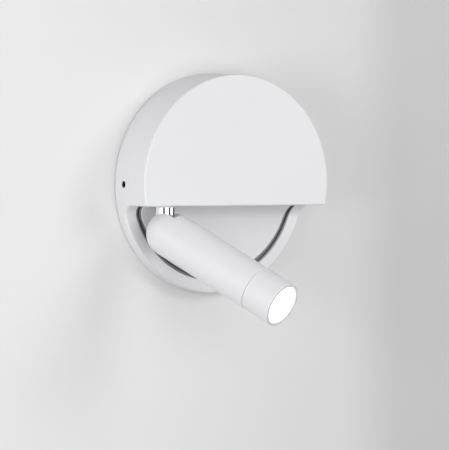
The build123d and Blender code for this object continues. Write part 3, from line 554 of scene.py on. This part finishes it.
WHITE = PowderCoat("white_powder_coat", (0.775, 0.775, 0.79), 0.46)
HEAD_WHITE = PowderCoat("white_head_coat", (0.775, 0.775, 0.79), 0.42, peel=1700.0, peel_depth=0.015 * MM)
# Groove liner: a real dark grey liner, and its dark tone is also painted shade that stands in for the shade deep in
# the groove.
GROOVE_LINER_SHADE = PowderCoat("groove_liner_painted_shade", (0.24, 0.24, 0.245), 0.55, drift=0.9)
CHROME = Chrome("polished_chrome", (0.90, 0.905, 0.91))
ZINC = RolledMetal("zinc_plate", (0.62, 0.63, 0.64), 0.34)
SCREW_STEEL = RolledMetal("screw_steel", (0.55, 0.56, 0.57), 0.3, grain=(700.0, 90.0, 700.0))
BLACK_STEEL = BlackOxide("blackened_steel", (0.006, 0.006, 0.0065))
CAST_ALUMINIUM = RolledMetal("turned_aluminium", (0.72, 0.73, 0.74), 0.32, grain=(500.0, 500.0, 500.0))
BRASS = RolledMetal("brass", (0.76, 0.58, 0.28), 0.27, cloud=300.0)
FERRITE = RolledMetal("ferrite", (0.09, 0.09, 0.095), 0.6, cloud=500.0)
CAN_METAL = RolledMetal("capacitor_can", (0.50, 0.52, 0.55), 0.25, grain=(900.0, 60.0, 900.0))
BLACK_RUBBER = Rubber("black_rubber", (0.028, 0.028, 0.03))
GREY_PAD = Rubber("grey_pad", (0.34, 0.35, 0.38))
GREY_FOAM = Foam("grey_foam", (0.42, 0.42, 0.43))
WHITE_NYLON = Moulded("white_nylon", (0.80, 0.80, 0.775))
DARK_NYLON = Moulded("dark_nylon", (0.06, 0.06, 0.065), glow_through=0.0)
CASE_PLASTIC = Moulded("case_plastic", (0.78, 0.785, 0.79), 0.5, texture=1200.0)
GREEN_BOARD = CircuitBoard("green_board", (0.03, 0.20, 0.09), track=(0.07, 0.33, 0.15))
WHITE_BOARD = CircuitBoard("white_board", (0.80, 0.81, 0.80), track=(0.87, 0.88, 0.87))
LEAD_WHITE = Sheath("white_lead", (0.78, 0.78, 0.76))
CORE_RED = Sheath("red_core", (0.42, 0.04, 0.03))
OPTIC = ClearOptic("clear_optic", (0.95, 0.96, 0.97))


# ------------------------------------------------------------------ shared shapes


@dataclass(frozen=True)
class AimLine:
    """The head's axis in the stored pose, with its tilt pivot."""

    stem_x: float = -41.4 * MM
    axis_height: float = 21.75 * MM
    pivot_z: float = -24.9 * MM
    swing: float = math.radians(68.2)
    drop: float = math.radians(25.9)

    @property
    def pivot(self) -> Vector:
        """The point where the tilt axis crosses the stem's axis."""
        return Vector((self.stem_x, -self.axis_height, self.pivot_z))

    @property
    def direction(self) -> Vector:
        """Unit vector along the head, towards its front."""
        level = math.cos(self.drop)
        return Vector((level * math.cos(self.swing), -level * math.sin(self.swing), -math.sin(self.drop)))

    def matrix(self) -> Matrix:
        """Places a piece that was made along +Z, from the pivot, on the head's axis."""
        turn = Vector((0.0, 0.0, 1.0)).rotation_difference(self.direction)
        return Matrix.Translation(self.pivot) @ turn.to_matrix().to_4x4()


def lathe(name: str, profile: list[tuple[float, float]], place: Matrix, steps: int = 128) -> bpy.types.Object:
    """Turns a closed outline about its own Z axis and puts the solid in place.

    Args:
        name: The piece's name.
        profile: Radius and height of each corner of the closed outline, in metres.
        place: Where the turned solid goes.
        steps: Steps round the axis.

    Returns:
        The new object, at the origin.
    """
    mesh = bpy.data.meshes.new(name)
    work = bmesh.new()
    corners = [work.verts.new((radius, 0.0, height)) for radius, height in profile]
    sides = [work.edges.new((a, b)) for a, b in zip(corners, corners[1:])]
    bmesh.ops.spin(
        work, geom=corners + sides, cent=(0.0, 0.0, 0.0), axis=(0.0, 0.0, 1.0), dvec=(0.0, 0.0, 0.0),
        angle=math.tau, steps=steps, use_merge=True, use_duplicate=False,
    )
    bmesh.ops.remove_doubles(work, verts=work.verts, dist=1e-7)
    bmesh.ops.recalc_face_normals(work, faces=work.faces)
    bmesh.ops.transform(work, matrix=place, verts=work.verts)
    work.to_mesh(mesh)
    work.free()
    mesh.shade_smooth()
    piece = bpy.data.objects.new(name, mesh)
    bpy.context.scene.collection.objects.link(piece)
    return piece


def crease(piece: bpy.types.Object, angle: float = 35.0) -> None:
    """Keeps edges sharp where the surface turns by more than an angle.

    Args:
        piece: The object.
        angle: The angle, in degrees.
    """
    piece.data.set_sharp_from_angle(angle=math.radians(angle))


# ------------------------------------------------------------------ sub-assemblies


@dataclass
class SubAssembly:
    """CAD nodes that belong together, each with its finish."""

    body: Body
    finishes: dict[str, Finish] = field(default_factory=dict)

    def dress(self, made: dict[str, bpy.types.Material]) -> None:
        """Gives each CAD node its finish.

        Args:
            made: The materials that exist so far, by name.
        """
        for node, finish in self.finishes.items():
            if finish.name not in made:
                made[finish.name] = finish.material()
            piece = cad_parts[node]
            piece.data.materials.clear()
            piece.data.materials.append(made[finish.name])
            LOG.info("%s rides on %s in %s", node, self.body.value, finish.name)


@dataclass
class WallSide(SubAssembly):
    """Bracket, terminals and driver inside the housing."""

    body: Body = Body.BASE
    finishes: dict[str, Finish] = field(default_factory=lambda: {
        "wall_bracket": ZINC, "cable_grommet": BLACK_RUBBER, "earth_screw": BRASS,
        "terminal_block": WHITE_NYLON, "terminal_clamps": BRASS, "terminal_screws": SCREW_STEEL,
        "driver_case": CASE_PLASTIC, "driver_lid": CASE_PLASTIC, "driver_board": GREEN_BOARD,
        "driver_transformer": FERRITE, "driver_capacitors": CAN_METAL, "driver_screws": SCREW_STEEL,
        "mains_cores": CORE_RED, "output_lead": LEAD_WHITE,
    })


@dataclass
class Housing(SubAssembly):
    """Round shell with its scooped recess, groove and set screws."""

    body: Body = Body.BASE
    finishes: dict[str, Finish] = field(default_factory=lambda: {
        "housing_shell": WHITE, "recess_plate": WHITE, "groove_liner": GROOVE_LINER_SHADE,
        "wall_gasket": GREY_FOAM, "side_grub_screws": BLACK_STEEL, "plate_screws": SCREW_STEEL,
        "stem_bush": WHITE_NYLON, "stop_pins": SCREW_STEEL,
    })


@dataclass
class Stem(SubAssembly):
    """Chrome stem with the washers and nut that hold it."""

    body: Body = Body.STEM
    finishes: dict[str, Finish] = field(default_factory=lambda: {
        "stem": CHROME, "thrust_washer": WHITE_NYLON, "stop_washer": ZINC,
        "spring_washer": SCREW_STEEL, "ring_nut": BRASS, "stem_lead": LEAD_WHITE,
    })


@dataclass
class SpotHead(SubAssembly):
    """Tubular head: shell, bezel, optics and the lit front lens."""

    body: Body = Body.HEAD
    finishes: dict[str, Finish] = field(default_factory=lambda: {
        "head_shell": HEAD_WHITE, "front_bezel": HEAD_WHITE, "knuckle_block": CAST_ALUMINIUM,
        "tilt_pins": SCREW_STEEL, "friction_washers": DARK_NYLON, "shell_screw": SCREW_STEEL,
        "heat_sink": CAST_ALUMINIUM, "thermal_pad": GREY_PAD, "led_board": WHITE_BOARD,
        "board_screws": SCREW_STEEL, "lens_holder": WHITE_NYLON, "optic_lens": OPTIC,
        "lens_spacer": WHITE_NYLON, "head_lead": LEAD_WHITE,
    })
    line: AimLine = AimLine()
    lens_radius: float = 10.75 * MM
    lens_front: float = 84.8 * MM
    lens_thickness: float = 2.0 * MM
    lens_crown: float = 0.35 * MM
    lens_edge: float = 0.3 * MM
    crown_rings: int = 12

    def lens_outline(self) -> list[tuple[float, float]]:
        """Outline of the crowned front lens, from the front centre round to the back centre.

        Returns:
            Radius and height of each corner.
        """
        flat = self.lens_radius - self.lens_edge
        crown = [
            (flat * i / self.crown_rings, self.lens_front + self.lens_crown * (1 - (i / self.crown_rings) ** 2))
            for i in range(self.crown_rings + 1)
        ]
        back = self.lens_front - self.lens_thickness
        return [*crown, (self.lens_radius, self.lens_front - self.lens_edge), (self.lens_radius, back), (0.0, back)]

    def build_lens(self) -> bpy.types.Object:
        """Makes the lit front lens in place of its plain solid.

        Returns:
            The lens.
        """
        lens = lathe("lit_front_lens", self.lens_outline(), self.line.matrix())
        crease(lens)
        glow = LitSurface(
            "lit_lens", (1.0, 0.998, 0.995), centre=tuple(self.line.pivot), axis=tuple(self.line.direction),
        )
        lens.data.materials.append(glow.material())
        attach(lens, self.body.value)
        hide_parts("front_lens")
        LOG.info("%s rides on %s", lens.name, self.body.value)
        return lens

    def dress_chip(self) -> None:
        """Gives the LED chip its glowing phosphor."""
        phosphor = LitSurface(
            "phosphor", (1.0, 0.86, 0.45), centre=tuple(self.line.pivot), axis=tuple(self.line.direction),
            lit_radius=1.9 * MM, rim_radius=2.1 * MM, rim_share=0.0, strength=1.5,
        )
        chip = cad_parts["led_chip"]
        chip.data.materials.clear()
        chip.data.materials.append(phosphor.material())
        LOG.info("led_chip rides on %s in phosphor", self.body.value)


# ------------------------------------------------------------------ studio


@dataclass(frozen=True)
class SoftBox:
    """A square, soft studio light that looks at one point."""

    name: str
    place: Point
    target: Point
    side: float
    power: float

    def build(self) -> bpy.types.Object:
        """Makes the light.

        Returns:
            The light's object.
        """
        lamp = bpy.data.lights.new(self.name, "AREA")
        lamp.shape, lamp.size, lamp.energy = "SQUARE", self.side, self.power
        piece = bpy.data.objects.new(self.name, lamp)
        piece.location = self.place
        look = Vector(self.target) - Vector(self.place)
        piece.rotation_euler = look.to_track_quat("-Z", "Y").to_euler()
        piece.visible_camera = False
        bpy.context.scene.collection.objects.link(piece)
        LOG.info("%s at %s", self.name, self.place)
        return piece


@dataclass(frozen=True)
class MirrorCard:
    """An upright curved studio card, bright or black, that only shows in polished surfaces."""

    name: str
    start: float
    end: float
    brightness: float
    distance: float = 0.7
    half_height: float = 0.35
    step: float = math.radians(6.0)

    def build(self) -> bpy.types.Object:
        """Bends the card round the light, between two angles to the right of straight ahead.

        Returns:
            The card.
        """
        mesh = bpy.data.meshes.new(self.name)
        work = bmesh.new()
        a = math.radians(self.start)
        foot = (self.distance * math.sin(a), -self.distance * math.cos(a))
        ends = [work.verts.new((*foot, z)) for z in (-self.half_height, self.half_height)]
        sweep = math.radians(self.end) - a
        bmesh.ops.spin(
            work, geom=[*ends, work.edges.new(ends)], cent=(0.0, 0.0, 0.0), axis=(0.0, 0.0, 1.0),
            dvec=(0.0, 0.0, 0.0), angle=sweep, steps=max(2, round(sweep / self.step)), use_duplicate=False,
        )
        work.to_mesh(mesh)
        work.free()
        card = bpy.data.objects.new(self.name, mesh)
        board = NodeBoard(self.name)
        board.set(Base_Color=(0.0, 0.0, 0.0, 1.0), Roughness=1.0, Specular_IOR_Level=0.0)
        board.set(Emission_Color=(1.0, 1.0, 1.0, 1.0), Emission_Strength=self.brightness)
        mesh.materials.append(board.material)
        card.visible_camera = card.visible_diffuse = card.visible_shadow = card.visible_transmission = False
        bpy.context.scene.collection.objects.link(card)
        LOG.info("%s from %.0f to %.0f degrees", self.name, self.start, self.end)
        return card


@dataclass(frozen=True)
class ViewFit:
    """The photograph's camera, as fitted to points measured on its 449 x 450 frame."""

    azimuth: float = math.radians(-33.64)
    elevation: float = math.radians(1.38)
    roll: float = math.radians(0.54)
    distance: float = 2.4
    pixels_per_metre: float = 1832.0
    centre_px: tuple[float, float] = (223.3, 184.1)
    target: Point = (0.0, -0.016, 0.0)
    frame_px: tuple[int, int] = (449, 450)
    sensor: float = 36.0
    far: float = 50.0

    def build(self) -> bpy.types.Object:
        """Makes the camera and the scene's use of it.

        Returns:
            The camera's object.
        """
        a, e, r = self.azimuth, self.elevation, self.roll
        back = Vector((math.sin(a) * math.cos(e), -math.cos(a) * math.cos(e), math.sin(e)))
        right = Vector((math.cos(a), math.sin(a), 0.0))
        up = back.cross(right)
        across = right * math.cos(r) + up * math.sin(r)
        upward = up * math.cos(r) - right * math.sin(r)
        focal_px = self.pixels_per_metre * self.distance
        dx = self.frame_px[0] / 2 - self.centre_px[0]
        dy = self.centre_px[1] - self.frame_px[1] / 2
        look = (-back * focal_px + across * dx + upward * dy).normalized()
        across = (across - look * across.dot(look)).normalized()
        upward = across.cross(look)
        turn = Matrix((across, upward, -look)).transposed().to_4x4()
        data = bpy.data.cameras.new("photo_camera")
        data.sensor_width = self.sensor
        data.lens = focal_px * self.sensor / max(self.frame_px)
        data.clip_end = self.far
        camera = bpy.data.objects.new("photo_camera", data)
        camera.matrix_world = Matrix.Translation(Vector(self.target) + back * self.distance) @ turn
        bpy.context.scene.collection.objects.link(camera)
        bpy.context.scene.camera = camera
        LOG.info("camera %.1f mm at %.2f m", data.lens, self.distance)
        return camera


@dataclass
class Studio:
    """Pale wall and floor with a painted shade to the right and a painted glow on the left, soft light, mirror cards
    and the camera.
    """

    wall_tone: Colour = (0.70, 0.70, 0.70)
    # wall_shade over shade_span: painted shade, the wall tone darkened towards the right of the light.
    wall_shade: float = 0.84
    wall_roughness: float = 0.85
    shade_span: tuple[float, float] = (90.0 * MM, 134.0 * MM)
    # wall_glow over glow_span: painted glow, wall emission brightest on the left that lifts the shadows and fades out
    # to the right.
    wall_glow: float = 0.10
    glow_span: tuple[float, float] = (-150.0 * MM, 150.0 * MM)
    fill: float = 0.2
    inside_glow: float = 0.45
    inside_half: float = 40.0 * MM
    reach: float = 4.0
    floor_z: float = -1.2
    wall_gap: float = 0.05 * MM
    boxes: tuple[SoftBox, ...] = (
        SoftBox("front_box", (-0.1, -1.5, 0.0), (0.0, 0.0, 0.0), 0.9, 8.9),
        SoftBox("left_box", (-1.05, -0.5, 0.0), (0.0, 0.0, 0.0), 0.5, 5.6),
        SoftBox("upper_box", (-0.9, -0.9, 0.8), (0.0, 0.0, 0.0), 0.6, 0.5),
        SoftBox("right_box", (0.8, -1.0, 0.6), (0.0, 0.0, 0.0), 0.6, 6.0),
    )
    cards: tuple[MirrorCard, ...] = (
        MirrorCard("left_card", -88.0, -54.0, 1.2),
        MirrorCard("middle_card", -37.0, 5.0, 1.35),
        MirrorCard("right_card", 23.0, 60.0, 1.35),
        MirrorCard("left_flag", -54.0, -37.0, 0.0),
        MirrorCard("middle_flag", 5.0, 23.0, 0.0),
        MirrorCard("right_flag", 60.0, 88.0, 0.0),
    )

    def sheet(self, name: str, corners: list[Point]) -> bpy.types.Object:
        """A flat sheet of the studio.

        Args:
            name: The sheet's name.
            corners: Its four corners, anticlockwise from its front.

        Returns:
            The sheet.
        """
        mesh = bpy.data.meshes.new(name)
        work = bmesh.new()
        work.faces.new([work.verts.new(c) for c in corners])
        work.to_mesh(mesh)
        work.free()
        piece = bpy.data.objects.new(name, mesh)
        bpy.context.scene.collection.objects.link(piece)
        return piece

    def along(self, board: NodeBoard, span: tuple[float, float]) -> bpy.types.NodeSocket:
        """A number that goes from 0 to 1 along X between two places.

        Args:
            board: The material in the making.
            span: Where it is 0 and where it is 1.

        Returns:
            The number.
        """
        split = board.add("ShaderNodeSeparateXYZ")
        board.join(board.place, split, 0)
        node = board.add("ShaderNodeMapRange", interpolation_type="SMOOTHSTEP")
        node.inputs["From Min"].default_value, node.inputs["From Max"].default_value = span
        board.join(split.outputs[0], node, "Value")
        return node.outputs[0]

    def paint(self) -> bpy.types.Material:
        """Matt wall paint with a painted glow that brightens it on the left and a painted shade that darkens it to the
        right, that can be looked through from behind the wall.

        Returns:
            The material.
        """
        board = NodeBoard("studio_paint")
        board.set(Roughness=self.wall_roughness, Emission_Strength=self.wall_glow)
        shade = tuple(c * self.wall_shade for c in self.wall_tone)
        # Painted shade: the wall tone darkens towards the right across shade_span.
        tone = board.ramp(self.along(board, self.shade_span), self.wall_tone, shade, 0.0, 1.0)
        board.join(tone, board.shader, "Base Color")
        # Painted glow: emission brightest on the left, fading to nothing across glow_span.
        glow = board.ramp(self.along(board, self.glow_span), (1.0, 1.0, 1.0), (0.0, 0.0, 0.0), 0.0, 1.0)
        board.join(glow, board.shader, "Emission Color")
        self.open_behind(board)
        return board.material

    def open_behind(self, board: NodeBoard) -> None:
        """Makes a sheet clear when it is looked at from behind.

        Args:
            board: The material in the making.
        """
        clear = board.add("ShaderNodeBsdfTransparent")
        side = board.add("ShaderNodeNewGeometry")
        mix = board.add("ShaderNodeMixShader")
        board.join(side.outputs["Backfacing"], mix, 0)
        board.join(board.shader.outputs[0], mix, 1)
        board.join(clear.outputs[0], mix, 2)
        board.join(mix.outputs[0], board.output, "Surface")

    def build_room(self) -> None:
        """Makes the wall behind the light and the floor far below it."""
        r, z, y = self.reach, self.floor_z, self.wall_gap
        paint = self.paint()
        for name, corners in (
            ("studio_wall", [(-r, y, z), (r, y, z), (r, y, r), (-r, y, r)]),
            ("studio_floor", [(-r, -r, z), (r, -r, z), (r, y, z), (-r, y, z)]),
        ):
            self.sheet(name, corners).data.materials.append(paint)
            LOG.info("%s is up", name)

    def build_inside_card(self) -> None:
        """Makes the card behind the open back, which lights the inside for views from the rear."""
        h, y = self.inside_half, self.wall_gap / 2
        card = self.sheet("inside_card", [(-h, y, -h), (h, y, -h), (h, y, h), (-h, y, h)])
        board = NodeBoard("inside_glow")
        board.set(Emission_Color=(1.0, 1.0, 1.0, 1.0), Emission_Strength=self.inside_glow)
        self.open_behind(board)
        card.data.materials.append(board.material)
        LOG.info("inside_card is up")

    def build_light(self) -> None:
        """Makes the even fill, the soft boxes and the cards that the chrome mirrors."""
        world = bpy.data.worlds.new("studio_fill")
        world.use_nodes = True
        sky = world.node_tree.nodes["Background"]
        sky.inputs["Color"].default_value = (1.0, 1.0, 1.0, 1.0)
        sky.inputs["Strength"].default_value = self.fill
        bpy.context.scene.world = world
        for piece in (*self.boxes, *self.cards):
            piece.build()

    def build(self) -> None:
        """Makes the whole studio."""
        self.build_room()
        self.build_inside_card()
        self.build_light()
        ViewFit().build()
        bpy.context.scene.view_settings.view_transform = "Standard"


def main() -> None:
    """Builds the sub-assemblies in order, then the studio."""
    logging.basicConfig(level=logging.INFO, format="%(name)s: %(message)s")
    made: dict[str, bpy.types.Material] = {}
    for assembly in (WallSide(), Housing(), Stem()):
        assembly.dress(made)
    head = SpotHead()
    head.dress(made)
    head.build_lens()
    head.dress_chip()
    Studio().build()


if __name__ == "__main__":
    main()
